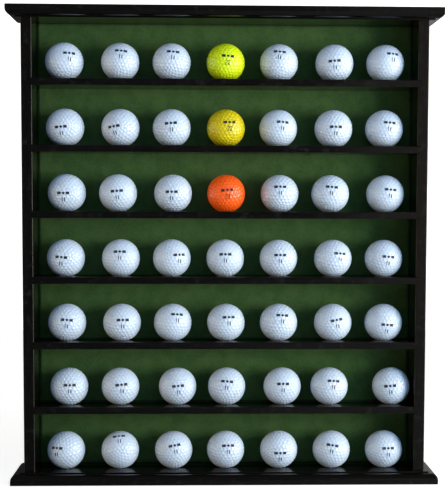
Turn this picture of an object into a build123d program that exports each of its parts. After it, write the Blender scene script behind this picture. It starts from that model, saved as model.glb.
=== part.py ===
from build123d import *
import os
from math import cos, radians

# Golf ball display case: an open-fronted black lacquered cabinet, green felt on its back,
# with seven long compartments of seven balls each.
# Millimetres. X runs along the shelves, -Y is the open front, Z is up.
# The origin is under the middle of the case, on the surface that it stands on.

# Balls
BALL_DIAMETER = 42.67
BALL_GAP = 0.3  # between a ball and the groove that it lies in
# How far each ball has rolled to the right of its even place, top shelf first.
BALL_ROLL = [
    [2.5, 4.0, 0.5, 0.0, -1.0, 0.5, -3.0],
    [3.0, 4.0, 0.5, 0.5, -1.5, 0.0, -3.5],
    [4.5, 1.0, 2.0, 1.0, 0.5, -3.0, -1.5],
    [3.0, 4.0, 0.5, 0.0, -0.5, 0.5, -2.5],
    [4.0, 5.0, 1.5, 1.0, 0.0, 1.0, -2.0],
    [6.0, 3.0, 7.0, 2.0, 4.5, -2.5, 7.5],
    [2.0, 2.5, 2.5, 1.0, 1.0, 0.5, 0.0],
]

# Compartments
CLEAR_WIDTH = 426.0  # between the two sides
CLEAR_HEIGHT = 65.0  # from one shelf to the next
SHELF_DEPTH = 50.0
SHELF_THICKNESS = 8.0
GROOVE_RADIUS = 23.0  # the long groove that keeps a row of balls from rolling off
GROOVE_DEPTH = 1.8

# Sides
SIDE_THICKNESS = 12.0
HOUSING_DEPTH = 3.0  # how far a shelf goes into each side
BACK_RECESS = 3.0  # from the back panel to the rear edge of the sides
ARRIS_RADIUS = 1.0  # softened front edges of sides and shelves

# Crown and base boards, with the same moulding. Both reach past the sides.
FRONT_OVERHANG = 14.0
CROWN_END_OVERHANG = 15.0
BASE_END_OVERHANG = 14.0
EDGE_STEP = 1.5
EDGE_LEDGE = 3.0
EDGE_ROUND = 6.5
EDGE_FACE = 5.0
EDGE_ARRIS = 0.8
CORNER_RADIUS = 1.2

# Back
FELT_THICKNESS = 1.0
PANEL_THICKNESS = 3.0
PANEL_GROOVE_DEPTH = 2.0

# Dowels that hold the crown
DOWEL_DIAMETER = 6.0
DOWEL_IN_CROWN = 9.0
DOWEL_IN_SIDE = 15.0
DOWEL_CHAMFER = 0.8

# Screws that hold the base, driven from below
BASE_SCREW_DIAMETER = 3.5
BASE_SCREW_HEAD = 7.0
BASE_SCREW_LENGTH = 35.0
BASE_SCREW_SINK = 0.4  # from the underside up to the head

# Where dowels and base screws stand on each side's end
FASTENER_FROM_FRONT = 14.0
FASTENER_FROM_BACK = 18.0

# Keyhole hangers, let into the rear edges of the sides
HANGER_WIDTH = 10.0
HANGER_LENGTH = 38.0
HANGER_THICKNESS = 1.5
HANGER_CORNER = 1.5
HANGER_BELOW_CROWN = 12.0
KEYHOLE_ENTRY = 6.6
KEYHOLE_SLOT = 3.8
KEYHOLE_RISE = 8.0  # from the entry's centre up to the slot's end centre
POCKET_WIDTH = 7.0
POCKET_DEPTH = 5.0
HANGER_SCREW_DIAMETER = 2.5
HANGER_SCREW_HEAD = 4.8
HANGER_SCREW_LENGTH = 14.0
HANGER_SCREW_INSET = 5.0  # from each end of the plate

# Shape of every screw's end and cross recess
SCREW_POINT = 3.0
RECESS_WIDTH = 0.9
RECESS_SHARE = 0.62  # the cross's span, as a share of the head
RECESS_DEPTH = 1.0

# Clearances
HOUSING_CLEARANCE = 0.1  # over a shelf, and at each of its ends
PANEL_CLEARANCE = 0.1  # on each face of the back panel in its grooves
PANEL_EDGE_CLEARANCE = 0.4
FELT_EDGE_CLEARANCE = 0.25
FELT_CLEARANCE = 0.2  # from a shelf's rear edge to the felt
DOWEL_CLEARANCE = 0.05
DOWEL_END_CLEARANCE = 0.5
SCREW_CLEARANCE = 0.05
HANGER_CLEARANCE = 0.2

# Sizes that follow
BALL_RADIUS = BALL_DIAMETER / 2
ROWS = len(BALL_ROLL)
ROW_PITCH = CLEAR_HEIGHT + SHELF_THICKNESS
BOARD_THICKNESS = EDGE_STEP + EDGE_ROUND + EDGE_FACE
SIDE_HEIGHT = ROWS * CLEAR_HEIGHT + (ROWS - 1) * SHELF_THICKNESS
SIDE_DEPTH = SHELF_DEPTH + FELT_THICKNESS + PANEL_THICKNESS + BACK_RECESS
CASE_WIDTH = CLEAR_WIDTH + 2 * SIDE_THICKNESS
BOARD_DEPTH = SIDE_DEPTH + FRONT_OVERHANG

# Planes of the case
BACK = BOARD_DEPTH / 2
FRONT = BACK - SIDE_DEPTH  # front edges of the sides and the shelves
FELT_FRONT = FRONT + SHELF_DEPTH
PANEL_FRONT = FELT_FRONT + FELT_THICKNESS
PANEL_BACK = PANEL_FRONT + PANEL_THICKNESS
GROOVE_LINE = FRONT + SHELF_DEPTH / 2  # the balls' centres stand over this line
FLOOR = BOARD_THICKNESS
CEILING = FLOOR + SIDE_HEIGHT
SIDE_MIDDLE = (CLEAR_WIDTH + SIDE_THICKNESS) / 2
FASTENER_LINES = (FRONT + FASTENER_FROM_FRONT, BACK - FASTENER_FROM_BACK)
HANGER_MIDDLE = CEILING - HANGER_BELOW_CROWN - HANGER_LENGTH / 2


def shelf_top(row):
    """Height of the surface that a row of balls lies on, with row 1 at the top."""
    return FLOOR + (ROWS - row) * ROW_PITCH


def block(x_low, x_high, y_low, y_high, z_low, z_high):
    size = (x_high - x_low, y_high - y_low, z_high - z_low)
    middle = ((x_low + x_high) / 2, (y_low + y_high) / 2, (z_low + z_high) / 2)
    return Pos(*middle) * Box(*size)


def rod(radius, length):
    """A cylinder that stands on the origin."""
    return Cylinder(radius, length, align=(Align.CENTER, Align.CENTER, Align.MIN))


def softened(solid, edges, radius):
    return fillet(edges, radius) if radius > 0 else solid


# Crown and base


def moulded_half(reach):
    """Half of a board's section: its compartment side on the x axis, its moulded edge at x = reach."""
    flat_end = reach - EDGE_ROUND - EDGE_LEDGE
    round_start = reach - EDGE_ROUND
    round_top = EDGE_STEP + EDGE_ROUND
    lean = EDGE_ROUND * cos(radians(45))
    round_middle = (round_start + lean, round_top - lean)
    outline = Polyline((0, 0), (flat_end, 0), (flat_end, EDGE_STEP), (round_start, EDGE_STEP))
    outline += ThreePointArc((round_start, EDGE_STEP), round_middle, (reach, round_top))
    outline += Polyline((reach, round_top), (reach, BOARD_THICKNESS), (0, BOARD_THICKNESS), (0, 0))
    return make_face(outline)


def moulded_board(end_overhang):
    """The board over its compartment side at z = 0, moulded at the front and at both ends."""
    width = CASE_WIDTH + 2 * end_overhang
    from_back = Plane(origin=(0, BACK, 0), x_dir=(0, -1, 0), z_dir=(-1, 0, 0))
    across = Plane(origin=(0, 0, 0), x_dir=(1, 0, 0), z_dir=(0, -1, 0))
    front_moulded = extrude(from_back * moulded_half(BOARD_DEPTH), width, both=True)
    right_half = extrude(across * moulded_half(width / 2), BOARD_DEPTH, both=True)
    end_moulded = right_half + mirror(right_half, about=Plane.YZ)
    board = front_moulded & end_moulded
    front_corners = board.edges().filter_by(Axis.Z).group_by(Axis.Y)[0]
    board = softened(board, front_corners, CORNER_RADIUS)
    all_but_the_rear = board.faces().sort_by(Axis.Z)[-1].edges().sort_by(Axis.Y)[:-1]
    return softened(board, all_but_the_rear, EDGE_ARRIS)


def ball_groove(row):
    """What the long groove takes out of the surface under a row of balls."""
    axis_height = shelf_top(row) - GROOVE_DEPTH + GROOVE_RADIUS
    lying = Rot(0, 90, 0) * Cylinder(GROOVE_RADIUS, CLEAR_WIDTH)
    return Pos(0, GROOVE_LINE, axis_height) * lying


def crown_board():
    board = Pos(0, 0, CEILING) * moulded_board(CROWN_END_OVERHANG)
    return board - dowel_holes()


def base_board():
    board = Pos(0, 0, FLOOR) * mirror(moulded_board(BASE_END_OVERHANG), about=Plane.XY)
    return board - ball_groove(ROWS) - base_screw_holes()


# Dowels, screws and their holes


def fastener_places():
    """Where the dowels and the base screws stand, seen from above."""
    return [(side * SIDE_MIDDLE, line) for side in (-1, 1) for line in FASTENER_LINES]


def crown_dowels():
    length = DOWEL_IN_CROWN + DOWEL_IN_SIDE
    pin = rod(DOWEL_DIAMETER / 2, length)
    pin = chamfer(pin.edges().filter_by(GeomType.CIRCLE), DOWEL_CHAMFER)
    return [Pos(x, y, CEILING - DOWEL_IN_SIDE) * pin for x, y in fastener_places()]


def dowel_holes():
    length = DOWEL_IN_CROWN + DOWEL_IN_SIDE + 2 * DOWEL_END_CLEARANCE
    hole = rod(DOWEL_DIAMETER / 2 + DOWEL_CLEARANCE, length)
    low = CEILING - DOWEL_IN_SIDE - DOWEL_END_CLEARANCE
    return [Pos(x, y, low) * hole for x, y in fastener_places()]


def screw_body(head, diameter, length, growth):
    """A countersunk screw with its head's face at z = 0, driven up +Z, larger all round by growth."""
    head_radius = head / 2 + growth
    radius = diameter / 2 + growth
    neck = head_radius - radius
    section = Polyline(
        (0, 0),
        (head_radius, 0),
        (radius, neck),
        (radius, length - SCREW_POINT),
        (0, length + growth),
        (0, 0),
    )
    return revolve(Plane.XZ * make_face(section), Axis.Z)


def countersunk_screw(head, diameter, length):
    span = head * RECESS_SHARE
    bar = Box(span, RECESS_WIDTH, 2 * RECESS_DEPTH)
    return screw_body(head, diameter, length, 0) - bar - Rot(0, 0, 90) * bar


def base_screws():
    screw = countersunk_screw(BASE_SCREW_HEAD, BASE_SCREW_DIAMETER, BASE_SCREW_LENGTH)
    return [Pos(x, y, BASE_SCREW_SINK) * screw for x, y in fastener_places()]


def base_screw_holes():
    body = screw_body(BASE_SCREW_HEAD, BASE_SCREW_DIAMETER, BASE_SCREW_LENGTH, SCREW_CLEARANCE)
    sink = Pos(0, 0, -BASE_SCREW_SINK) * rod(BASE_SCREW_HEAD / 2 + SCREW_CLEARANCE, BASE_SCREW_SINK)
    hole = body + sink
    return [Pos(x, y, BASE_SCREW_SINK) * hole for x, y in fastener_places()]


# Keyhole hangers


def hanger_plane(side):
    """On the rear edge of a side (-1 left, 1 right), behind the hanger, looking out of the back."""
    return Plane(origin=(side * SIDE_MIDDLE, BACK, HANGER_MIDDLE), x_dir=(-1, 0, 0), z_dir=(0, 1, 0))


def keyhole():
    """The keyhole's outline, with its round entry under its slot."""
    entry = Pos(0, -KEYHOLE_RISE / 2) * Circle(KEYHOLE_ENTRY / 2)
    slot = Rot(0, 0, 90) * SlotCenterToCenter(KEYHOLE_RISE, KEYHOLE_SLOT)
    return entry + slot


def hanger_screw_places():
    offset = HANGER_LENGTH / 2 - HANGER_SCREW_INSET
    return (-offset, offset)


def on_hanger(side, height, screw):
    """A screw turned to go in at the back of a side."""
    return hanger_plane(side) * Pos(0, height, 0) * Rot(180, 0, 0) * screw


def hanger_plate(side):
    outline = RectangleRounded(HANGER_WIDTH, HANGER_LENGTH, HANGER_CORNER) - keyhole()
    plate = extrude(hanger_plane(side) * outline, -HANGER_THICKNESS)
    for height in hanger_screw_places():
        plate -= on_hanger(side, height, hanger_screw_hole())
    return plate


def hanger_screw_hole():
    return screw_body(
        HANGER_SCREW_HEAD, HANGER_SCREW_DIAMETER, HANGER_SCREW_LENGTH, SCREW_CLEARANCE
    )


def hanger_screws():
    screw = countersunk_screw(HANGER_SCREW_HEAD, HANGER_SCREW_DIAMETER, HANGER_SCREW_LENGTH)
    return [on_hanger(side, height, screw) for side in (-1, 1) for height in hanger_screw_places()]


def hanger_recess(side):
    """What a hanger needs taken out of its side: a bed for the plate and a pocket for a screw's head."""
    wide = HANGER_WIDTH + 2 * HANGER_CLEARANCE
    long = HANGER_LENGTH + 2 * HANGER_CLEARANCE
    bed = RectangleRounded(wide, long, HANGER_CORNER + HANGER_CLEARANCE)
    pocket = Rot(0, 0, 90) * SlotCenterToCenter(KEYHOLE_RISE, POCKET_WIDTH)
    depth = HANGER_THICKNESS + POCKET_DEPTH
    cut = extrude(hanger_plane(side) * bed, -HANGER_THICKNESS)
    cut += extrude(hanger_plane(side) * pocket, -depth)
    for height in hanger_screw_places():
        cut += on_hanger(side, height, hanger_screw_hole())
    return cut


# Sides, shelves and back


def side_panel(side):
    """The left (-1) or the right (1) side, with everything that is cut into it."""
    inner = side * CLEAR_WIDTH / 2
    outer = side * CASE_WIDTH / 2
    panel = block(min(inner, outer), max(inner, outer), FRONT, BACK, FLOOR, CEILING)
    front_edges = panel.edges().filter_by(Axis.Z).group_by(Axis.Y)[0]
    panel = softened(panel, front_edges, ARRIS_RADIUS)
    for row in range(1, ROWS):
        panel -= shelf_housing(side, row)
    panel -= panel_groove(side)
    panel -= dowel_holes()
    panel -= base_screw_holes()
    return panel - hanger_recess(side)


def shelf_housing(side, row):
    """The slot that takes a shelf's end, open at the front."""
    inner = side * CLEAR_WIDTH / 2
    deep = inner + side * HOUSING_DEPTH
    top = shelf_top(row) + HOUSING_CLEARANCE
    low = shelf_top(row) - SHELF_THICKNESS
    return block(min(inner, deep), max(inner, deep), FRONT, PANEL_FRONT, low, top)


def panel_groove(side):
    """The groove that holds the back panel's edge."""
    inner = side * CLEAR_WIDTH / 2
    deep = inner + side * PANEL_GROOVE_DEPTH
    front = PANEL_FRONT - PANEL_CLEARANCE
    back = PANEL_BACK + PANEL_CLEARANCE
    return block(min(inner, deep), max(inner, deep), front, back, FLOOR, CEILING)


def shelf(row):
    """The shelf under a row of balls."""
    half = CLEAR_WIDTH / 2 + HOUSING_DEPTH - HOUSING_CLEARANCE
    top = shelf_top(row)
    board = block(-half, half, FRONT, FELT_FRONT - FELT_CLEARANCE, top - SHELF_THICKNESS, top)
    front_edges = board.edges().filter_by(Axis.X).group_by(Axis.Y)[0]
    return softened(board, front_edges, ARRIS_RADIUS) - ball_groove(row)


def back_panel():
    half = CLEAR_WIDTH / 2 + PANEL_GROOVE_DEPTH - PANEL_CLEARANCE
    return block(-half, half, PANEL_FRONT, PANEL_BACK, FLOOR, CEILING - PANEL_EDGE_CLEARANCE)


def felt_lining():
    half = CLEAR_WIDTH / 2 - FELT_EDGE_CLEARANCE
    low = FLOOR + FELT_EDGE_CLEARANCE
    return block(-half, half, FELT_FRONT, PANEL_FRONT, low, CEILING - FELT_EDGE_CLEARANCE)


# Balls


def ball(row, place):
    """One ball in its groove: row 1 is the top one, place 1 the left one."""
    rolls = BALL_ROLL[row - 1]
    even_pitch = CLEAR_WIDTH / len(rolls)
    x = (place - (len(rolls) + 1) / 2) * even_pitch + rolls[place - 1]
    z = shelf_top(row) - GROOVE_DEPTH + BALL_GAP + BALL_RADIUS
    return Pos(x, GROOVE_LINE, z) * Sphere(BALL_RADIUS)


def case_parts():
    """Every node's solids, by name."""
    parts = {
        "crown_board": [crown_board()],
        "base_board": [base_board()],
        "left_side": [side_panel(-1)],
        "right_side": [side_panel(1)],
        "shelves": [shelf(row) for row in range(1, ROWS)],
        "back_panel": [back_panel()],
        "felt_lining": [felt_lining()],
        "crown_dowels": crown_dowels(),
        "base_screws": base_screws(),
        "hanger_plates": [hanger_plate(-1), hanger_plate(1)],
        "hanger_screws": hanger_screws(),
    }
    for row in range(1, ROWS + 1):
        for place in range(1, len(BALL_ROLL[row - 1]) + 1):
            parts[f"ball_r{row}_c{place}"] = [ball(row, place)]
    return parts


os.makedirs("parts", exist_ok=True)
for name, solids in case_parts().items():
    bodies = [body for shape in solids for body in shape.solids()]
    export_step(Compound(children=bodies) if len(bodies) > 1 else bodies[0], f"parts/{name}.step")
    print(name, len(bodies), round(sum(body.volume for body in bodies)))
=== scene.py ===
# %% [markdown]
# # A golf ball display case
# The case is an open cabinet with seven long compartments, each holding seven balls in a
# shallow groove. The joiner's work (boards, sides, shelves, panel, screws) comes as a fixed
# frame of plain solids at real size. Everything here gives that frame its finish: lacquer,
# felt, dimpled balls, light and a camera. The frame could be modelled again in Blender, but
# one set of sizes that nobody retypes is safer, so the script starts by loading it.

# %% Load the frame
import math

import bmesh
import bpy
from mathutils import Matrix, Vector
from mathutils.bvhtree import BVHTree


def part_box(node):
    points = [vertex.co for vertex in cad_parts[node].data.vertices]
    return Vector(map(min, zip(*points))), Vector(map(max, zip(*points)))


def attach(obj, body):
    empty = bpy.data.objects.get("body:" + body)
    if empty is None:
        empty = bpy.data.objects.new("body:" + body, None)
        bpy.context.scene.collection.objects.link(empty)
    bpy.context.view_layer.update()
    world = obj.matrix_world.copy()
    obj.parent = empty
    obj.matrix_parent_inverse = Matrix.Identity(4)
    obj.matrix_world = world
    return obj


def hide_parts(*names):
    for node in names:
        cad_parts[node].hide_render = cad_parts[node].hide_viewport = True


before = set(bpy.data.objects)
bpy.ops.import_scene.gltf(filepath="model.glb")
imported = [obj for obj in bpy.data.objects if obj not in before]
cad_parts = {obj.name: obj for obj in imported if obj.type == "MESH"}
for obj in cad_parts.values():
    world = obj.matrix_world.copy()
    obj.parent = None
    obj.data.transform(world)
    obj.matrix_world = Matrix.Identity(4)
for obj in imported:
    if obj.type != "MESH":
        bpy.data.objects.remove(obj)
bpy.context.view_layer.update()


MM = 0.001

# %% [markdown]
# ## The camera
# The case is seen from the front, a little left of its middle and a little below its top
# shelf, from about a metre and a half. A long lens at that distance keeps the shelves nearly
# parallel. A camera can be aimed with a Track To constraint, but the small roll of a camera
# held by hand is easier to give as a plain rotation built from heading, pitch and roll.

# %% Camera
CAMERA_PLACE = Vector((-22.9, -1388.0, 317.9)) * MM
CAMERA_HEADING = 0.0323  # radians, towards the right end of the case
CAMERA_PITCH = -0.06834
CAMERA_ROLL = 0.0034
CAMERA_LENS = 90.5  # millimetres
SENSOR_WIDTH = 36.0  # millimetres, along the image's long side
NEAREST_SEEN = 0.05
IMAGE_WIDTH = 445
IMAGE_HEIGHT = 489
SIGHT_ACROSS = 244.5  # pixel columns and rows from the top left corner to the lens axis
SIGHT_DOWN = 284.0


def camera_turn(heading, pitch, roll):
    """Turns a camera that looks down -Z to look along +Y, then heads, pitches and rolls it."""
    upright = Matrix.Rotation(math.pi / 2 + pitch, 4, "X")
    rolled = Matrix.Rotation(roll, 4, "Z")
    return Matrix.Rotation(-heading, 4, "Z") @ upright @ rolled


scene = bpy.context.scene
camera_data = bpy.data.cameras.new("front_camera")
camera_data.sensor_fit = "AUTO"
camera_data.sensor_width = SENSOR_WIDTH
camera_data.lens = CAMERA_LENS
camera_data.shift_x = (IMAGE_WIDTH / 2 - SIGHT_ACROSS) / IMAGE_HEIGHT
camera_data.shift_y = (SIGHT_DOWN - IMAGE_HEIGHT / 2) / IMAGE_HEIGHT
camera_data.clip_start = NEAREST_SEEN
camera = bpy.data.objects.new("front_camera", camera_data)
scene.collection.objects.link(camera)
camera.matrix_world = Matrix.Translation(CAMERA_PLACE) @ camera_turn(
    CAMERA_HEADING, CAMERA_PITCH, CAMERA_ROLL
)
scene.camera = camera
print("camera at", [round(value, 3) for value in CAMERA_PLACE])

# %% [markdown]
# ## Nodes written as sums
# Materials and geometry trees are both graphs of nodes. They can be wired by hand in the
# editor, or in a script by linking socket to socket, which soon hides what is computed. Here
# a small class wraps a socket, so that `1 - mask * 0.3` adds the Math nodes that it says, and
# one method adds any other node from its type, its settings and what goes into its sockets.

# %% A socket that can be added and multiplied
class Value:
    """An output socket. Arithmetic on it adds Math nodes to its tree."""

    def __init__(self, wiring, socket):
        self.wiring = wiring
        self.socket = socket

    def math(self, operation, *operands):
        inputs = dict(enumerate(operands))
        return self.wiring.add("ShaderNodeMath", {"operation": operation}, inputs)

    def __add__(self, other):
        return self.math("ADD", self, other)

    def __radd__(self, other):
        return self.math("ADD", other, self)

    def __sub__(self, other):
        return self.math("SUBTRACT", self, other)

    def __rsub__(self, other):
        return self.math("SUBTRACT", other, self)

    def __mul__(self, other):
        return self.math("MULTIPLY", self, other)

    def __rmul__(self, other):
        return self.math("MULTIPLY", other, self)


print("a Value can be added, subtracted and multiplied")


# %% Wiring for shader and geometry trees
class Wiring:
    """Adds nodes to one tree."""

    def __init__(self, tree):
        self.tree = tree

    def node(self, kind, settings=None, inputs=None):
        """A node of that type: settings are made first, then sockets get numbers or links."""
        made = self.tree.nodes.new(kind)
        for name, setting in (settings or {}).items():
            setattr(made, name, setting)
        for key, given in (inputs or {}).items():
            self.fill(made, key, given)
        return made

    def add(self, kind, settings=None, inputs=None, output=0):
        """The same, but gives back one output as a Value."""
        return self.out(self.node(kind, settings, inputs), output)

    def out(self, node, key):
        return Value(self, self.find(node.outputs, key))

    def fill(self, node, key, given):
        for one in given if isinstance(given, list) else [given]:
            if isinstance(one, Value):
                self.tree.links.new(one.socket, self.find(node.inputs, key))
            else:
                self.find(node.inputs, key).default_value = one

    @staticmethod
    def find(sockets, key):
        """A socket by place, by identifier or by name, in that order."""
        if isinstance(key, int):
            return sockets[key]
        for socket in sockets:
            if socket.identifier == key:
                return socket
        return sockets[key]

    def object_point(self, scale=(1.0, 1.0, 1.0)):
        """Object coordinates in metres, stretched along the axes."""
        point = self.add("ShaderNodeTexCoord", output="Object")
        return self.add("ShaderNodeMapping", {}, {"Vector": point, "Scale": scale})

    def noise(self, point, grain, detail=3.0, rough=0.5, distortion=0.0):
        """Noise from 0 to 1 whose lumps are about grain metres across."""
        inputs = {
            "Vector": point,
            "Scale": 1.0 / grain,
            "Detail": detail,
            "Roughness": rough,
            "Distortion": distortion,
        }
        return self.add("ShaderNodeTexNoise", {}, inputs)

    def stretch(self, value, low, high, to_low=0.0, to_high=1.0):
        """Value mapped from low..high to to_low..to_high, smoothly and without overshoot."""
        inputs = {
            "Value": value,
            "From Min": low,
            "From Max": high,
            "To Min": to_low,
            "To Max": to_high,
        }
        return self.add("ShaderNodeMapRange", {"interpolation_type": "SMOOTHSTEP"}, inputs)

    def blend(self, share, first, second):
        """A colour between first and second."""
        inputs = {"Factor_Float": share, "A_Color": first, "B_Color": second}
        return self.add("ShaderNodeMix", {"data_type": "RGBA"}, inputs, "Result_Color")

    def bump(self, height, depth, strength=1.0, under=None):
        """A normal from a height of 0 to 1 that stands for depth metres."""
        inputs = {"Height": height, "Distance": depth, "Strength": strength}
        if under is not None:
            inputs["Normal"] = under
        return self.add("ShaderNodeBump", {}, inputs, "Normal")


print("shortcuts: object_point, noise, stretch, blend, bump")


# %% The start and end of a material
def rgb(red, green, blue):
    return (red, green, blue, 1.0)


def new_material(name):
    """An empty material and the wiring of its tree."""
    made = bpy.data.materials.new(name)
    made.use_nodes = True
    made.node_tree.nodes.clear()
    return made, Wiring(made.node_tree)


def finish_material(made, wiring, inputs):
    """Ends a material in one Principled BSDF."""
    surface = wiring.add("ShaderNodeBsdfPrincipled", {}, inputs)
    wiring.node("ShaderNodeOutputMaterial", {}, {"Surface": surface})
    print("material:", made.name, "nodes:", len(wiring.tree.nodes))
    return made


FULL_WHITE = rgb(1, 1, 1)
print("full white:", FULL_WHITE)

# %% [markdown]
# ## Black lacquer
# Crown, base, sides and shelves are sanded board sprayed black and rubbed to a satin gloss.
# Four things show up close: the wood's grain just telegraphs through, the spray leaves a fine
# orange peel, polishing leaves the gloss uneven in slow clouds, and the front arrises are
# rubbed a little duller by hands. Near the front their colour is painted a little paler, partly
# as wear and partly as a painted highlight along the arris. A flat black with one roughness
# would look like plastic. The grain runs along a board, so the pattern is stretched along X for
# boards and shelves and along Z for the sides. Sides and shelves lose more gloss just behind
# their front faces than the moulded boards do. One function makes all three materials, and the
# distance from the front plane, read off Y in object coordinates, places the wear and the
# painted highlight.

# %% Lacquer
SIDE_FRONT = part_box("left_side")[0].y
BOARD_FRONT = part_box("crown_board")[0].y
GRAIN_SQUEEZE = 0.04  # how much the grain is drawn out along its axis
ARRIS_START = 0.15 * MM  # behind the front plane
ARRIS_WIDTH = 0.9 * MM
ARRIS_END = 1.3 * MM
EDGE_LOSS = 0.32  # roughness that rubbing adds


def lacquer(name, along, front, edge_loss):
    """Black lacquer, grained along one axis, duller and painted paler near a front plane: wear and
    painted highlight.
    """
    made, w = new_material(name)
    scale = tuple(GRAIN_SQUEEZE if axis == along else 1.0 for axis in "XYZ")
    grain_point = w.object_point(scale)
    plain_point = w.object_point()
    grain = w.noise(grain_point, 1.6 * MM, detail=5.0, rough=0.6, distortion=0.4)
    clouds = w.noise(plain_point, 45 * MM, detail=3.0)
    peel = w.noise(plain_point, 2.4 * MM, detail=1.0)
    dust = w.noise(plain_point, 0.5 * MM, detail=2.0)
    specks = w.stretch(dust, 0.70, 0.78)
    depth = w.add("ShaderNodeSeparateXYZ", {}, {"Vector": plain_point}, "Y")
    near_front = w.stretch(depth, front, front + ARRIS_WIDTH, 1.0, 0.0)
    rounded = w.stretch(depth, front, front + ARRIS_START)
    dulled = rounded * w.stretch(depth, front + ARRIS_WIDTH, front + ARRIS_END, 1.0, 0.0)
    # patches near the front plane that are painted paler: partly rubbed wear, partly a painted
    # highlight along the arris
    patches_of_wear_and_highlight = w.stretch(w.noise(plain_point, 6 * MM, detail=5.0), 0.52, 0.72)
    wear_and_highlight = near_front * patches_of_wear_and_highlight
    streaks = w.stretch(grain, 0.38, 0.62)
    black = w.blend(streaks, rgb(0.0022, 0.0020, 0.0020), rgb(0.0038, 0.0035, 0.0032))
    # painted paler towards a dark grey: partly wear, partly a painted highlight on the front arris
    worn_and_highlit = w.blend(wear_and_highlight * 0.22, black, rgb(0.034, 0.032, 0.029))
    dusty = w.blend(specks * 0.2, worn_and_highlit, rgb(0.07, 0.07, 0.07))
    satin = 0.10 + 0.03 * clouds + 0.03 * grain
    rough = satin + 0.12 * wear_and_highlight + 0.15 * specks + edge_loss * dulled
    peel_normal = w.bump(peel, 0.010 * MM, 0.5)
    normal = w.bump(grain, 0.012 * MM, 0.6, under=peel_normal)
    inputs = {
        "Base Color": dusty,
        "Roughness": rough,
        "Normal": normal,
        "IOR": 1.5,
        "Specular Tint": rgb(1.0, 0.93, 0.86),
    }
    return finish_material(made, w, inputs)


board_lacquer = lacquer("black_lacquer_boards", "X", BOARD_FRONT, 0.0)
shelf_lacquer = lacquer("black_lacquer_shelves", "X", SIDE_FRONT, EDGE_LOSS)
side_lacquer = lacquer("black_lacquer_sides", "Z", SIDE_FRONT, EDGE_LOSS)

# %% [markdown]
# ## Board, wood and metal that only show from behind
# The back panel is thin hardboard: brown, with short fibres pressed flat and a few dark
# specks. The dowels are beech, drawn out along their length. The hangers and their screws are
# zinc plated, so they are bright with a faint blue and yellow drift and a brushed direction.
# The base screws are blackened steel. All of them are small or hidden, so noise at the right
# size is enough, and a texture from a picture would add nothing.

# %% Hardboard and beech
def hardboard():
    made, w = new_material("hardboard_brown")
    point = w.object_point()
    pressed = w.object_point((1.0, 1.0, 0.35))
    fibres = w.noise(pressed, 1.1 * MM, detail=6.0, rough=0.7, distortion=1.2)
    patches = w.noise(point, 30 * MM, detail=3.0)
    specks = w.stretch(w.noise(point, 0.8 * MM, detail=1.0), 0.68, 0.74)
    brown = w.blend(fibres, rgb(0.115, 0.062, 0.034), rgb(0.205, 0.122, 0.072))
    patchy = w.blend(patches * 0.4, brown, rgb(0.150, 0.094, 0.058))
    speckled = w.blend(specks * 0.6, patchy, rgb(0.045, 0.026, 0.016))
    rough = 0.55 + 0.2 * fibres
    normal = w.bump(fibres, 0.10 * MM, 0.6)
    return finish_material(made, w, {"Base Color": speckled, "Roughness": rough, "Normal": normal})


def beech():
    made, w = new_material("beech_dowel")
    streaks = w.noise(w.object_point((1.0, 1.0, 0.08)), 0.7 * MM, detail=5.0, rough=0.6)
    wood = w.blend(streaks, rgb(0.46, 0.28, 0.15), rgb(0.64, 0.44, 0.27))
    rough = 0.5 + 0.15 * streaks
    normal = w.bump(streaks, 0.05 * MM, 0.6)
    return finish_material(made, w, {"Base Color": wood, "Roughness": rough, "Normal": normal})


panel_board = hardboard()
dowel_beech = beech()


# %% Zinc and black screws
def plated_metal(name, dark, bright, smooth):
    """Plated steel, brushed up and down, with the plating's drift of colour."""
    made, w = new_material(name)
    point = w.object_point()
    brushed = w.noise(w.object_point((1.0, 1.0, 0.06)), 0.25 * MM, detail=3.0)
    drift = w.noise(point, 6 * MM, detail=2.0)
    scuffs = w.stretch(w.noise(point, 1.2 * MM, detail=5.0), 0.58, 0.70)
    colour = w.blend(drift, dark, bright)
    scuffed = w.blend(scuffs * 0.4, colour, bright)
    rough = smooth + 0.14 * brushed + 0.12 * scuffs
    normal = w.bump(brushed, 0.01 * MM, 0.5)
    inputs = {"Base Color": scuffed, "Metallic": 1.0, "Roughness": rough, "Normal": normal}
    return finish_material(made, w, inputs)


zinc = plated_metal("zinc_plating", rgb(0.52, 0.53, 0.57), rgb(0.68, 0.67, 0.62), 0.26)
black_steel = plated_metal(
    "black_screw_steel", rgb(0.030, 0.030, 0.033), rgb(0.075, 0.072, 0.070), 0.34
)

# %% Dress the joiner's solids
FINISHES = {
    "crown_board": board_lacquer,
    "base_board": board_lacquer,
    "left_side": side_lacquer,
    "right_side": side_lacquer,
    "shelves": shelf_lacquer,
    "back_panel": panel_board,
    "crown_dowels": dowel_beech,
    "base_screws": black_steel,
    "hanger_plates": zinc,
    "hanger_screws": zinc,
}
for node_name, finish in FINISHES.items():
    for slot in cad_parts[node_name].material_slots:
        slot.material = finish
print("dressed:", ", ".join(FINISHES))

# %% [markdown]
# ## The felt
# The green lining is one piece of pressed felt glued to the back panel before the panel goes
# in. Felt has no weave: it is a mat of short fibres lying every way, thicker in some places
# than in others, so light falls on it in soft blotches. The sheet is a fine grid whose front
# swells and sinks by a few tenths of a millimetre, with a flat glued back and a closed edge.
# Cloth simulation has nothing to do here, because the sheet is stuck down all over.

# %% How the felt lies
FELT_TUCK = 0.02 * MM  # short of the boards and sides that it is pressed against
felt_low, felt_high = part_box("felt_lining")
felt_low.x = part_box("left_side")[1].x + FELT_TUCK
felt_high.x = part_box("right_side")[0].x - FELT_TUCK
felt_low.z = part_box("base_board")[1].z + FELT_TUCK
felt_high.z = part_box("crown_board")[0].z - FELT_TUCK
FELT_COLUMNS = 142
FELT_ROWS = 168
FELT_SWELL = 0.45 * MM
FELT_MARGIN = 0.05 * MM
SLOW_WAVES = (61, 47)  # radians a metre, across and up
QUICK_WAVES = (233, 271)
BENDS = (150, 190)


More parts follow.
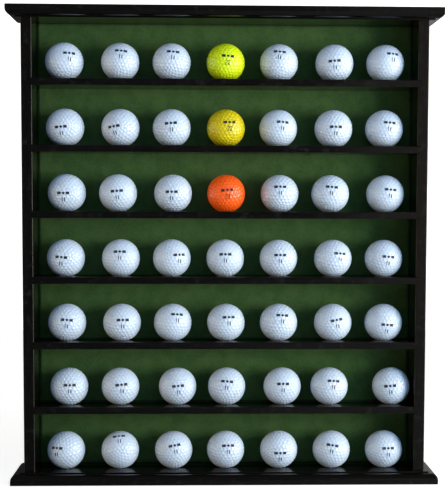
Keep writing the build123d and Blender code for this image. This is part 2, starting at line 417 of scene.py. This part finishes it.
def swell(x, z):
    """How thick the felt stands at a point, from 0 to 1: slow waves and quick, bent ones."""
    slow = math.sin(SLOW_WAVES[0] * x + 1.3) * math.cos(SLOW_WAVES[1] * z - 0.4)
    bent_across = math.sin(QUICK_WAVES[0] * x + 2.1 * math.sin(BENDS[1] * z))
    bent_up = math.cos(QUICK_WAVES[1] * z + 1.7 * math.sin(BENDS[0] * x))
    return 0.5 + 0.3 * slow + 0.2 * (bent_across * bent_up)


# %% Felt mesh
def felt_mesh():
    """A closed sheet: the swelling front, the flat back, and a rim between them."""
    mesh = bmesh.new()
    sheets = []
    for is_front in (True, False):
        points = []
        for row in range(FELT_ROWS + 1):
            z = felt_low.z + (felt_high.z - felt_low.z) * row / FELT_ROWS
            line = []
            for column in range(FELT_COLUMNS + 1):
                x = felt_low.x + (felt_high.x - felt_low.x) * column / FELT_COLUMNS
                front = felt_low.y + FELT_MARGIN + FELT_SWELL * (1 - swell(x, z))
                line.append(mesh.verts.new((x, front if is_front else felt_high.y, z)))
            points.append(line)
        for row in range(FELT_ROWS):
            for column in range(FELT_COLUMNS):
                corners = [
                    points[row][column],
                    points[row][column + 1],
                    points[row + 1][column + 1],
                    points[row + 1][column],
                ]
                mesh.faces.new(corners if is_front else corners[::-1])
        sheets.append(points)
    front, back = sheets
    rims = [
        (front[0], back[0]),
        (back[-1], front[-1]),
        ([line[0] for line in back], [line[0] for line in front]),
        ([line[-1] for line in front], [line[-1] for line in back]),
    ]
    for near, far in rims:
        for step in range(len(near) - 1):
            mesh.faces.new((near[step], far[step], far[step + 1], near[step + 1]))
    return mesh


print("felt grid:", FELT_COLUMNS, "by", FELT_ROWS)


# %% From a bmesh to an object
def to_object(mesh, name, materials, smooth=True):
    """A finished bmesh as an object at the origin."""
    data = bpy.data.meshes.new(name)
    mesh.to_mesh(data)
    mesh.free()
    for finish in materials:
        data.materials.append(finish)
    data.polygons.foreach_set("use_smooth", [smooth] * len(data.polygons))
    made = bpy.data.objects.new(name, data)
    scene.collection.objects.link(made)
    print(name, "faces:", len(data.polygons))
    return made


# %% Felt finish
def green_felt():
    made, w = new_material("green_felt_nap")
    point = w.object_point()
    blotches = w.noise(point, 16 * MM, detail=4.0, rough=0.55)
    clumps = w.noise(point, 3.2 * MM, detail=3.0, rough=0.6)
    fibres = w.noise(point, 0.7 * MM, detail=4.0, rough=0.7, distortion=2.0)
    strands = w.noise(w.object_point((1.0, 1.0, 0.2)), 0.5 * MM, detail=2.0, distortion=1.0)
    lint = w.stretch(w.noise(point, 1.4 * MM, detail=5.0, distortion=3.0), 0.66, 0.76)
    thick = w.stretch(blotches, 0.35, 0.65)
    deep = w.blend(thick, rgb(0.041, 0.101, 0.025), rgb(0.066, 0.134, 0.036))
    napped = w.blend(w.stretch(clumps, 0.35, 0.70) * 0.5, deep, rgb(0.082, 0.150, 0.045))
    shaded = w.blend(w.stretch(fibres, 0.35, 0.60, 0.45, 0.0), napped, rgb(0.014, 0.032, 0.010))
    linted = w.blend(lint * 0.25, shaded, rgb(0.14, 0.18, 0.10))
    rough = 0.86 + 0.12 * clumps
    mat = w.bump(clumps, 0.35 * MM, 0.5)
    normal = w.bump(fibres * 0.6 + strands * 0.4, 0.22 * MM, 0.7, under=mat)
    inputs = {
        "Base Color": linted,
        "Roughness": rough,
        "Normal": normal,
        "Sheen Weight": 0.25,
        "Sheen Roughness": 0.5,
        "Sheen Tint": rgb(0.45, 0.60, 0.35),
        "Specular IOR Level": 0.2,
    }
    return finish_material(made, w, inputs)


felt_nap = green_felt()

# %% Felt on the panel
felt = to_object(felt_mesh(), "felt_sheet", [felt_nap])
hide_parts("felt_lining")
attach(felt, "cabinet")

# %% [markdown]
# ## Dimples
# A golf ball is 42.67 mm across and carries a few hundred shallow round dimples, packed so
# that only thin lands are left between them. The moulds lay them out on the triangles of an
# icosahedron, each side divided evenly, which gives 362 places for six divisions. The centres
# are worked out here in plain Python as loose points. A Geometry Nodes tree then does what is
# the same at every centre. Pushing the dimples into a dense sphere would need ten times the
# faces for the same clean rims, so the tree builds the surface from the dimples instead: it
# sets rings of points round every centre, drops them onto the ball, wraps them all in a
# convex hull, whose faces then follow the rims, and only then sinks the inner points.

# %% Dimple centres
DIMPLE_DIVISIONS = 6
SLACK = 1e-6  # for comparing lengths


def icosahedron():
    """The faces between nearest corners, each as three corners on the unit sphere."""
    golden = (1 + math.sqrt(5)) / 2
    corners = []
    for short in (-1, 1):
        for long in (-golden, golden):
            for point in ((0, short, long), (short, long, 0), (long, 0, short)):
                corners.append(Vector(point).normalized())
    edge = min((corners[0] - other).length for other in corners[1:]) + SLACK
    faces = []
    for a in range(12):
        for b in range(a + 1, 12):
            for c in range(b + 1, 12):
                sides = ((a, b), (b, c), (c, a))
                if all((corners[i] - corners[j]).length < edge for i, j in sides):
                    faces.append((corners[a], corners[b], corners[c]))
    return faces


def dimple_centres(divisions):
    """Unit vectors towards every dimple."""
    centres = {}
    for a, b, c in icosahedron():
        for i in range(divisions + 1):
            for j in range(divisions + 1 - i):
                point = (a * i + b * j + c * (divisions - i - j)).normalized()
                centres[tuple(round(value, 5) for value in point)] = point
    return [centres[key] for key in sorted(centres)]


centres = dimple_centres(DIMPLE_DIVISIONS)
print("dimples:", len(centres))

# %% [markdown]
# ## The dimple tree
# Its inputs are sizes with plain names, so the same tree would make a hockey ball with other
# numbers. The width of each dimple follows the gap to its nearest neighbour, as in a real
# mould, where the dimples near a corner of the pattern are smaller. The finished surface is
# smooth shaded, which rounds the rims as paint does.

# %% Rings of a dimple
RIM_POINTS = 12
WALL_POINTS = 8
WALL_REACH = 0.62  # of the dimple's radius
WALL_SINK = 0.70  # of its depth


def named_inputs(tree, wanted):
    """Adds the tree's inputs and its one output."""
    for name, kind in wanted:
        tree.interface.new_socket(name, in_out="INPUT", socket_type=kind)
    tree.interface.new_socket("Geometry", in_out="OUTPUT", socket_type="NodeSocketGeometry")


def with_sink(w, geometry, sink):
    """Stores how far the points sink, as a share of the dimple's depth."""
    inputs = {"Geometry": geometry, "Name": "sink", "Value": sink}
    return w.add("GeometryNodeStoreNamedAttribute", {"data_type": "FLOAT"}, inputs)


def dimple_points(w):
    """One dimple of radius 1: its middle, a ring on its wall, and its rim."""
    middle = w.add("GeometryNodeMeshLine", {}, {"Count": 1})
    wall = w.add("GeometryNodeMeshCircle", {}, {"Vertices": WALL_POINTS, "Radius": WALL_REACH})
    rim = w.add("GeometryNodeMeshCircle", {}, {"Vertices": RIM_POINTS, "Radius": 1.0})
    rings = [with_sink(w, middle, 1.0), with_sink(w, wall, WALL_SINK), with_sink(w, rim, 0.0)]
    return w.add("GeometryNodeJoinGeometry", {}, {"Geometry": rings})


def on_ball(w, radius):
    """Each point's own direction from the ball's middle, times radius."""
    position = w.add("GeometryNodeInputPosition")
    outward = w.add("ShaderNodeVectorMath", {"operation": "NORMALIZE"}, {0: position})
    return w.add("ShaderNodeVectorMath", {"operation": "SCALE"}, {0: outward, "Scale": radius})


print("points in a dimple:", 1 + WALL_POINTS + RIM_POINTS)


# %% The tree that makes a ball
def dimple_tree():
    tree = bpy.data.node_groups.new("dimpled_ball", "GeometryNodeTree")
    named_inputs(
        tree,
        [
            ("Centres", "NodeSocketGeometry"),
            ("Ball Radius", "NodeSocketFloat"),
            ("Dimple Fill", "NodeSocketFloat"),
            ("Dimple Depth", "NodeSocketFloat"),
            ("Finish", "NodeSocketMaterial"),
        ],
    )
    w = Wiring(tree)
    given = w.node("NodeGroupInput")
    radius = w.out(given, "Ball Radius")
    position = w.add("GeometryNodeInputPosition")
    nearest = w.add("GeometryNodeIndexOfNearest", {}, {"Position": position}, "Index")
    inputs = {"Index": nearest, "Value": position}
    neighbour = w.add("GeometryNodeFieldAtIndex", {"data_type": "FLOAT_VECTOR"}, inputs)
    inputs = {0: position, 1: neighbour}
    gap = w.add("ShaderNodeVectorMath", {"operation": "DISTANCE"}, inputs, "Value")
    turn = w.add("FunctionNodeAlignRotationToVector", {"axis": "Z"}, {"Vector": position})
    inputs = {
        "Points": w.out(given, "Centres"),
        "Instance": dimple_points(w),
        "Rotation": turn,
        "Scale": gap * 0.5 * w.out(given, "Dimple Fill"),
    }
    placed = w.add("GeometryNodeInstanceOnPoints", {}, inputs)
    loose = w.add("GeometryNodeRealizeInstances", {}, {"Geometry": placed})
    inputs = {"Geometry": loose, "Position": on_ball(w, radius)}
    dropped = w.add("GeometryNodeSetPosition", {}, inputs)
    hull = w.add("GeometryNodeConvexHull", {}, {"Geometry": dropped})
    same_point = w.add("GeometryNodeSampleNearest", {"domain": "POINT"}, {"Geometry": dropped})
    sink = w.add("GeometryNodeInputNamedAttribute", {"data_type": "FLOAT"}, {"Name": "sink"})
    inputs = {"Geometry": dropped, "Value": sink, "Index": same_point}
    depth_share = w.add("GeometryNodeSampleIndex", {"data_type": "FLOAT"}, inputs)
    sunk_radius = radius - depth_share * w.out(given, "Dimple Depth")
    inputs = {"Geometry": hull, "Position": on_ball(w, sunk_radius)}
    sunk = w.add("GeometryNodeSetPosition", {}, inputs)
    smooth = w.add("GeometryNodeSetShadeSmooth", {}, {"Geometry": sunk})
    realized = w.add("GeometryNodeRealizeInstances", {}, {"Geometry": smooth})
    inputs = {"Geometry": realized, "Material": w.out(given, "Finish")}
    finished = w.add("GeometryNodeSetMaterial", {}, inputs)
    w.node("NodeGroupOutput", {}, {"Geometry": finished})
    print("tree:", tree.name, "nodes:", len(tree.nodes))
    return tree


ball_tree = dimple_tree()


# %% From a tree to a plain mesh
def set_inputs(modifier, numbers):
    """Sets a modifier's inputs, which go by their sockets' identifiers."""
    for item in modifier.node_group.interface.items_tree:
        if item.item_type == "SOCKET" and item.in_out == "INPUT" and item.name in numbers:
            modifier[item.identifier] = numbers[item.name]


def baked_mesh(host, tree, numbers, name):
    """Runs a tree on an object and keeps the result as a plain mesh."""
    modifier = host.modifiers.new(tree.name, "NODES")
    modifier.node_group = tree
    set_inputs(modifier, numbers)
    bpy.context.view_layer.update()
    graph = bpy.context.evaluated_depsgraph_get()
    mesh = bpy.data.meshes.new_from_object(host.evaluated_get(graph))
    mesh.name = name
    host.modifiers.remove(modifier)
    print(name, "points:", len(mesh.vertices), "faces:", len(mesh.polygons))
    return mesh


# %% [markdown]
# ## Ball shells and print
# Under its clear coat a ball is a hard, slightly cool white. It is glossy, so each dimple
# keeps its own small highlight, and it picks up faint scuffs. The dark print is matt ink. The
# shells differ in colour: white, and one each of lime, yellow and orange down the middle
# column. Fluorescent orange gives back more orange light than falls on it. Cycles has no such
# paint, so a small glow of the same colour stands for it.

# %% Ball finishes
COAT_MATT = 0.12


def ball_paint(name, main, shade, matt, coat, glow):
    """Ball paint: main colour, drifting a little towards shade. Fluorescent paint glows too."""
    made, w = new_material(name)
    point = w.object_point()
    drift = w.noise(point, 18 * MM, detail=2.0)
    scuffs = w.stretch(w.noise(point, 2.2 * MM, detail=6.0, rough=0.65), 0.60, 0.74)
    pores = w.noise(point, 0.6 * MM, detail=2.0)
    colour = w.blend(drift * 0.5, main, shade)
    scuffed = w.blend(scuffs * 0.12, colour, shade)
    rough = matt + 0.06 * drift + 0.22 * scuffs
    normal = w.bump(pores, 0.006 * MM, 0.4)
    inputs = {
        "Base Color": scuffed,
        "Roughness": rough,
        "Normal": normal,
        "Coat Weight": coat,
        "Coat Roughness": COAT_MATT,
        "Emission Color": main,
        "Emission Strength": glow,
        "IOR": 1.5,
    }
    return finish_material(made, w, inputs)


def print_ink():
    made, w = new_material("ball_ink")
    point = w.object_point()
    patchy = w.noise(point, 0.5 * MM, detail=4.0, rough=0.7)
    thin = w.stretch(patchy, 0.35, 0.75)
    ink = w.blend(thin, rgb(0.008, 0.009, 0.020), rgb(0.030, 0.032, 0.060))
    normal = w.bump(patchy, 0.01 * MM, 0.5)
    inputs = {"Base Color": ink, "Roughness": 0.35 + 0.2 * patchy, "Normal": normal}
    return finish_material(made, w, inputs)


PAINT_LOOKS = {  # main colour, shade, roughness, coat and glow
    "white": (rgb(0.66, 0.77, 0.91), rgb(0.62, 0.71, 0.82), 0.22, 0.35, 0.0),
    "lime": (rgb(0.76, 0.95, 0.010), rgb(0.66, 0.84, 0.008), 0.30, 0.22, 0.0),
    "yellow": (rgb(0.79, 0.64, 0.010), rgb(0.70, 0.54, 0.008), 0.30, 0.22, 0.0),
    "orange": (rgb(1.0, 0.120, 0.010), rgb(0.94, 0.100, 0.008), 0.30, 0.25, 0.13),
}
PAINTS = {}
for hue, look in PAINT_LOOKS.items():
    PAINTS[f"ball_{hue}"] = ball_paint(f"{hue}_ball_paint", *look)
ink = print_ink()

# %% Bare ball shape
low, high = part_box("ball_r1_c1")
BALL_RADIUS = (high.x - low.x) / 2
DIMPLE_FILL = 0.93  # of half the gap between neighbouring centres
DIMPLE_DEPTH = 0.54 * MM  # about twice the real depth, to show from a metre and a half away

points = bmesh.new()
for centre in centres:
    points.verts.new(centre * BALL_RADIUS)
ball_host = to_object(points, "dimple_centres", [])
sizes = {
    "Ball Radius": BALL_RADIUS,
    "Dimple Fill": DIMPLE_FILL,
    "Dimple Depth": DIMPLE_DEPTH,
    "Finish": PAINTS["ball_white"],
}
bare_ball = baked_mesh(ball_host, ball_tree, sizes, "bare_ball")
bpy.data.objects.remove(ball_host)

# %% [markdown]
# ## The print on a ball
# Each ball carries a plain sighting mark, a bar on each side of a diamond, and under it a
# two-figure number. The print lies in the dimples like a skin, so it can't be a flat decal.
# Text could be shrink-wrapped on, but its long thin faces would bridge the dimples. Here every
# stroke is a ribbon of small cells that follows a centre line. Each of its points is sent
# down onto the ball by a ray and lifted by the thickness of the ink.

# %% Sizes and strokes of the print
INK_THICKNESS = 0.04 * MM
INK_ROOT = 0.05 * MM  # how far the ribbon's underside lies in the paint
INK_CELL = 0.45 * MM
FIGURE_HEIGHT = 4.6 * MM
FIGURE_SHAPES = {  # width, pitch and stroke
    "1": (2.1 * MM, 2.8 * MM, 1.05 * MM),
    "2": (2.5 * MM, 3.3 * MM, 0.75 * MM),
    "3": (2.5 * MM, 3.3 * MM, 0.75 * MM),
}
FIGURE_DROP = 7.2 * MM  # from the sighting mark down to the number's middle
BAR_LENGTH = 4.2 * MM
BAR_HEIGHT = 3.0 * MM
BAR_OFFSET = 4.9 * MM
DIAMOND_LENGTH = 4.0 * MM
DIAMOND_HEIGHT = 3.6 * MM
DIAMOND_TIP = 0.02  # of its height, left at the points
ARC_STEPS = 9


def arc(middle_x, middle_y, radius_x, radius_y, start, end):
    """Points of an arc in a unit square, with angles in degrees."""
    step = (end - start) / ARC_STEPS
    turned = [math.radians(start + step * place) for place in range(ARC_STEPS + 1)]
    return [(middle_x + radius_x * math.cos(t), middle_y + radius_y * math.sin(t)) for t in turned]


FIGURES = {
    "1": [[(0.50, 1.0), (0.50, 0.0)]],
    "2": [arc(0.5, 0.72, 0.45, 0.28, 170, -30) + [(0.05, 0.0)], [(0.05, 0.0), (0.98, 0.0)]],
    "3": [
        arc(0.45, 0.75, 0.42, 0.25, 150, -90),
        arc(0.45, 0.26, 0.50, 0.26, 90, -150),
    ],
}
print("figures:", ", ".join(FIGURES))


# %% Ribbons
def resampled(line):
    """The line with extra points, so that no step is longer than a cell of ink."""
    points = [Vector(line[0])]
    for end in line[1:]:
        start = points[-1]
        end = Vector(end)
        steps = max(1, math.ceil((end - start).length / INK_CELL))
        points += [start.lerp(end, step / steps) for step in range(1, steps + 1)]
    return points


def ribbon(line, half_widths):
    """Rows of points across a flat line, with one half width for each point of it."""
    widest = max(half_widths)
    lanes = max(1, math.ceil(2 * widest / INK_CELL))
    rows = []
    for place, point in enumerate(line):
        before = line[max(place - 1, 0)]
        after = line[min(place + 1, len(line) - 1)]
        along = (after - before).normalized()
        across = Vector((-along.y, along.x))
        half = half_widths[place]
        rows.append([point + across * half * (1 - 2 * lane / lanes) for lane in range(lanes + 1)])
    return rows


def figure_ribbons(text):
    """Ribbons of a number, under the sighting mark."""
    ribbons = []
    for place, figure in enumerate(text):
        width, pitch, stroke_width = FIGURE_SHAPES[figure]
        left = (place - len(text) / 2) * pitch + (pitch - width) / 2
        for stroke in FIGURES[figure]:
            line = [
                (left + x * width, -FIGURE_DROP + (y - 0.5) * FIGURE_HEIGHT) for x, y in stroke
            ]
            line = resampled(line)
            ribbons.append(ribbon(line, [stroke_width / 2] * len(line)))
    return ribbons


def sighting_ribbons():
    """Ribbons of the bar, the diamond and the other bar."""
    ribbons = []
    for side in (-1, 1):
        middle = side * BAR_OFFSET
        line = resampled([(middle - BAR_LENGTH / 2, 0), (middle + BAR_LENGTH / 2, 0)])
        ribbons.append(ribbon(line, [BAR_HEIGHT / 2] * len(line)))
    reach = DIAMOND_LENGTH / 2
    line = resampled([(-reach, 0), (reach, 0)])
    shares = [max(DIAMOND_TIP, 1 - abs(point.x) / reach) for point in line]
    ribbons.append(ribbon(line, [share * DIAMOND_HEIGHT / 2 for share in shares]))
    return ribbons


print("ribbons in the sighting mark:", len(sighting_ribbons()))

# %% Lay the strokes on the ball
RAY_START = 1.2  # of the ball's radius


def towards(point):
    """The direction from the ball's middle to a place on its -Y side, given in arc lengths."""
    turn = point.x / BALL_RADIUS
    rise = point.y / BALL_RADIUS
    flat = math.cos(rise)
    return Vector((math.sin(turn) * flat, -math.cos(turn) * flat, math.sin(rise)))


def lay_ribbon(mesh, tree, rows):
    """Adds a closed ribbon of ink to the mesh, following the dimples."""
    layers = []
    for lift in (INK_THICKNESS, -INK_ROOT):
        layer = []
        for row in rows:
            line = []
            for point in row:
                outward = towards(point)
                hit = tree.ray_cast(outward * BALL_RADIUS * RAY_START, -outward)[0]
                line.append(mesh.verts.new(hit + outward * lift))
            layer.append(line)
        layers.append(layer)
    top, under = layers
    for layer in layers:
        for step in range(len(rows) - 1):
            for lane in range(len(rows[0]) - 1):
                corners = [
                    layer[step][lane],
                    layer[step][lane + 1],
                    layer[step + 1][lane + 1],
                    layer[step + 1][lane],
                ]
                mesh.faces.new(corners[::-1] if layer is under else corners)
    edge_pairs = [
        ([row[0] for row in top], [row[0] for row in under]),
        ([row[-1] for row in under], [row[-1] for row in top]),
        (under[0], top[0]),
        (top[-1], under[-1]),
    ]
    for near, far in edge_pairs:
        for step in range(len(near) - 1):
            mesh.faces.new((near[step + 1], near[step], far[step], far[step + 1]))


def printed_ball(text):
    """The bare ball with its sighting mark and number, as a mesh."""
    mesh = bmesh.new()
    mesh.from_mesh(bare_ball)
    tree = BVHTree.FromBMesh(mesh)
    bare_faces = len(mesh.faces)
    for face in mesh.faces:
        face.material_index = 0
    for rows in sighting_ribbons() + figure_ribbons(text):
        lay_ribbon(mesh, tree, rows)
    mesh.faces.ensure_lookup_table()
    new_faces = mesh.faces[bare_faces:]
    for face in new_faces:
        face.material_index = 1
        face.smooth = True
    bmesh.ops.recalc_face_normals(mesh, faces=new_faces)
    data = bpy.data.meshes.new(f"printed_ball_{text}")
    data.materials.append(PAINTS["ball_white"])
    data.materials.append(ink)
    mesh.to_mesh(data)
    mesh.free()
    print("printed ball", text, "faces:", len(data.polygons))
    return data


printed = {text: printed_ball(text) for text in ("11", "22", "33")}

# %% [markdown]
# ## Balls in their places
# A hand put each ball down, so the prints face roughly forward, but every one is turned and
# tilted its own way. The turns are good to about three degrees: how far the print faces to
# the right, how far it looks up, and how far it is tilted. Where each ball lies comes from
# the frame, and each rides on its own body, so it can be lifted out of its groove.

# %% Which way each ball faces
BALL_FACINGS = [  # a line for each row from the top, a ball for each place from the left
    [(23, 22, -3), (7, 31, -5), (7, 29, -5), (7, 16, -5), (0, 32, -5), (-5, 3, 5), (19, 27, -5)],
    [(-7, 0, 5), (-17, 2, 10), (-1, 13, 5), (11, 17, 0), (12, 18, -5), (2, 4, 0), (11, 18, -5)],
    [(-5, 0, 0), (0, 7, 5), (-3, 5, 0), (2, 11, 5), (-1, 22, 0), (0, 22, -5), (10, 14, -5)],
    [(-8, 5, -5), (0, 23, 0), (26, 13, 0), (0, 15, 0), (3, 13, 0), (19, 18, -5), (8, 8, -5)],
    [(5, 13, -5), (6, 13, 0), (18, 31, -5), (9, 22, 0), (11, 28, -5), (7, 13, 10), (5, -2, -5)],
    [(7, 12, 0), (7, 13, 5), (3, 9, 5), (1, 23, -5), (0, 15, 0), (10, 24, -5), (-10, 8, 5)],
    [(-25, 16, 0), (-4, 58, 10), (5, 24, 10), (8, 23, 0), (2, -1, 0), (-1, 23, -10), (7, 13, 0)],
]
COLOURED_BALLS = {
    (1, 4): ("ball_lime", "22"),
    (2, 4): ("ball_yellow", "22"),
    (3, 4): ("ball_orange", "33"),
}


def facing(turn, rise, tilt):
    """Turns a ball whose print looks along -Y, in degrees."""
    turned = Matrix.Rotation(math.radians(turn), 4, "Z")
    risen = Matrix.Rotation(math.radians(-rise), 4, "X")
    tilted = Matrix.Rotation(math.radians(-tilt), 4, "Y")
    return turned @ risen @ tilted


print("rows:", len(BALL_FACINGS), "places in a row:", len(BALL_FACINGS[0]))


# %% Place the balls
def place_ball(row, place, angles):
    """One ball, standing for the frame's plain sphere."""
    node_name = f"ball_r{row}_c{place}"
    slot_name, text = COLOURED_BALLS.get((row, place), ("ball_white", "11"))
    lowest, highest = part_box(node_name)
    mesh = printed[text].copy()
    mesh.name = f"dimpled_{node_name}"
    mesh.materials[0] = PAINTS[slot_name]
    mesh.transform(Matrix.Translation((lowest + highest) / 2) @ facing(*angles))
    made = bpy.data.objects.new(mesh.name, mesh)
    scene.collection.objects.link(made)
    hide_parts(node_name)
    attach(made, node_name)
    return made


balls = []
for row, line in enumerate(BALL_FACINGS, start=1):
    for place, angles in enumerate(line, start=1):
        balls.append(place_ball(row, place, angles))
print("balls:", len(balls), "triangles each, about", 2 * len(bare_ball.vertices))

# %% [markdown]
# ## Floor and backdrop
# The case stands on a pale floor in front of a pale wall. Each is one plain matt sheet. Both
# glow for rays from the camera, so the background reads white while the floor still darkens
# under the case. Black lacquer mirrors whatever stands round it, and a whole white studio in
# it would turn it grey, so in reflections the sheets are much darker, more so on the left.
# A grey card to the right shows only in reflections, and gives the right side its soft sheen.
# The sheets are clear from behind, so the back of the case can be looked at too.

# %% A white that reflections see dimmed
MIRRORED_MATT = 0.06  # how pale floor and backdrop are in reflections
STAGE_FADE = 0.25  # how far left and right of the middle the reflected glow still changes
MOTTLE_SIZE = 0.2


def stage_white(name, glow, mirrored_left, mirrored_right):
    """Matt white: glows for the camera, dimmed in reflections, clear from behind."""
    made, w = new_material(name)
    path = w.node("ShaderNodeLightPath")
    seen = w.out(path, "Is Camera Ray")
    mirrored = w.out(path, "Is Glossy Ray")
    through = w.out(path, "Is Transmission Ray")
    point = w.object_point()
    across = w.add("ShaderNodeSeparateXYZ", {}, {"Vector": point}, "X")
    share = w.stretch(across, -STAGE_FADE, STAGE_FADE, mirrored_left, mirrored_right)
    shown = seen.math("MAXIMUM", seen.math("MAXIMUM", seen, mirrored * share), through)
    mottle = w.noise(point, MOTTLE_SIZE, detail=2.0)
    pale = w.blend(mottle, rgb(0.78, 0.78, 0.78), rgb(0.82, 0.82, 0.82))
    dimmed = w.blend(mirrored, pale, rgb(MIRRORED_MATT, MIRRORED_MATT, MIRRORED_MATT))
    matt = w.add("ShaderNodeBsdfDiffuse", {}, {"Color": dimmed})
    glowing = w.add("ShaderNodeEmission", {}, {"Color": FULL_WHITE, "Strength": shown * glow})
    both = w.add("ShaderNodeAddShader", {}, {0: matt, 1: glowing})
    behind = w.out(w.node("ShaderNodeNewGeometry"), "Backfacing")
    clear = w.add("ShaderNodeBsdfTransparent", {}, {"Color": FULL_WHITE})
    one_sided = w.add("ShaderNodeMixShader", {}, {0: behind, 1: both, 2: clear})
    w.node("ShaderNodeOutputMaterial", {}, {"Surface": one_sided})
    print("stage material:", name, "glow:", glow)
    return made


def card_grey(name, glow):
    """A glow that only reflections see."""
    made, w = new_material(name)
    mirrored = w.out(w.node("ShaderNodeLightPath"), "Is Glossy Ray")
    dim = w.add("ShaderNodeEmission", {}, {"Color": FULL_WHITE, "Strength": mirrored * glow})
    clear = w.add("ShaderNodeBsdfTransparent", {}, {"Color": FULL_WHITE})
    surface = w.add("ShaderNodeMixShader", {}, {0: mirrored, 1: clear, 2: dim})
    w.node("ShaderNodeOutputMaterial", {}, {"Surface": surface})
    print("stage material:", name, "glow:", glow)
    return made


# %% Floor, backdrop and card
FLOOR_REACH = 3.0
BACKDROP_PLACE = 1.6
BACKDROP_HEIGHT = 3.0
CARD_LEFT = (0.40, -2.3)  # x and y of the card's upright edges
CARD_RIGHT = (1.2, -2.0)
CARD_HEIGHT = 0.9
CARD_GLOW = 0.24


def stage_sheet(name, corners, material):
    """A flat sheet that isn't part of the object."""
    mesh = bmesh.new()
    mesh.faces.new([mesh.verts.new(corner) for corner in corners])
    made = to_object(mesh, name, [material], smooth=False)


stage_sheet(
    "studio_floor",
    [
        (-FLOOR_REACH, -FLOOR_REACH, 0),
        (FLOOR_REACH, -FLOOR_REACH, 0),
        (FLOOR_REACH, BACKDROP_PLACE, 0),
        (-FLOOR_REACH, BACKDROP_PLACE, 0),
    ],
    stage_white("studio_floor_white", 0.75, 0.03, 0.18),
)
stage_sheet(
    "studio_backdrop",
    [
        (-FLOOR_REACH, BACKDROP_PLACE, 0),
        (FLOOR_REACH, BACKDROP_PLACE, 0),
        (FLOOR_REACH, BACKDROP_PLACE, BACKDROP_HEIGHT),
        (-FLOOR_REACH, BACKDROP_PLACE, BACKDROP_HEIGHT),
    ],
    stage_white("studio_backdrop_white", 0.9, 0.0, 0.3),
)
stage_sheet(
    "studio_card",
    [
        (*CARD_LEFT, 0.0),
        (*CARD_LEFT, CARD_HEIGHT),
        (*CARD_RIGHT, CARD_HEIGHT),
        (*CARD_RIGHT, 0.0),
    ],
    card_grey("studio_card_grey", CARD_GLOW),
)

# %% [markdown]
# ## Lamps and world
# The light is soft daylight. A broad, slightly warm lamp to the right of the camera, at the
# height of the case, does most of the work. A small blue one beside it stands for a window, a
# warm one fills from the left, and a large blue one overhead stands for the sky. Blue lamps
# would leave bright blue patches on black lacquer, so those two are hidden from reflections.
# The world adds an even, slightly cool light, and is plain white to the camera.

# %% Lamps
AIM = Vector((0, 0, 265)) * MM
LAMPS = {  # azimuth, height and distance, then width, tall and watts, colour, and if mirrored
    "key_lamp": (61, 0.40, 1.9, 1.4, 0.8, 41.3, (1.0, 0.96, 0.88), True),
    "window_lamp": (36, 0.42, 1.9, 0.8, 0.8, 6.3, (0.25, 0.61, 1.0), False),
    "left_lamp": (-72, 0.40, 1.9, 1.0, 0.8, 10.1, (1.0, 0.74, 0.39), True),
    "top_lamp": (10, 1.5, 1.6, 2.8, 1.6, 14.6, (0.46, 0.70, 1.0), False),
}


def soft_lamp(name, azimuth, height, distance, width, tall, watts, colour, mirrored):
    """An area lamp round the case: azimuth in degrees to the right of straight in front."""
    data = bpy.data.lights.new(name, "AREA")
    data.shape = "RECTANGLE"
    data.size = width
    data.size_y = tall
    data.energy = watts
    data.color = colour
    lamp = bpy.data.objects.new(name, data)
    lamp.visible_glossy = mirrored
    scene.collection.objects.link(lamp)
    turn = math.radians(azimuth)
    place = Vector((distance * math.sin(turn), -distance * math.cos(turn), height))
    look = (AIM - place).to_track_quat("-Z", "Y").to_matrix().to_4x4()
    lamp.matrix_world = Matrix.Translation(place) @ look
    print("lamp", name, "at", [round(value, 2) for value in place], "W:", watts)


for name, look in LAMPS.items():
    soft_lamp(name, *look)

# %% World
WORLD_LEVEL = 0.085
MIRRORED_WORLD = 0.068

world = bpy.data.worlds.new("studio_world")
scene.world = world
world.use_nodes = True
world.node_tree.nodes.clear()
w = Wiring(world.node_tree)
path = w.node("ShaderNodeLightPath")
seen = w.out(path, "Is Camera Ray")
mirrored = w.out(path, "Is Glossy Ray")
level = WORLD_LEVEL - mirrored * (WORLD_LEVEL - MIRRORED_WORLD)
ambient = w.add("ShaderNodeBackground", {}, {"Color": rgb(0.84, 0.80, 0.90), "Strength": level})
white = w.add("ShaderNodeBackground", {}, {"Color": FULL_WHITE, "Strength": 1.0})
sky = w.add("ShaderNodeMixShader", {}, {0: seen, 1: ambient, 2: white})
w.node("ShaderNodeOutputWorld", {}, {"Surface": sky})
scene.view_settings.view_transform = "Standard"
print("world level:", WORLD_LEVEL, "in reflections:", MIRRORED_WORLD)
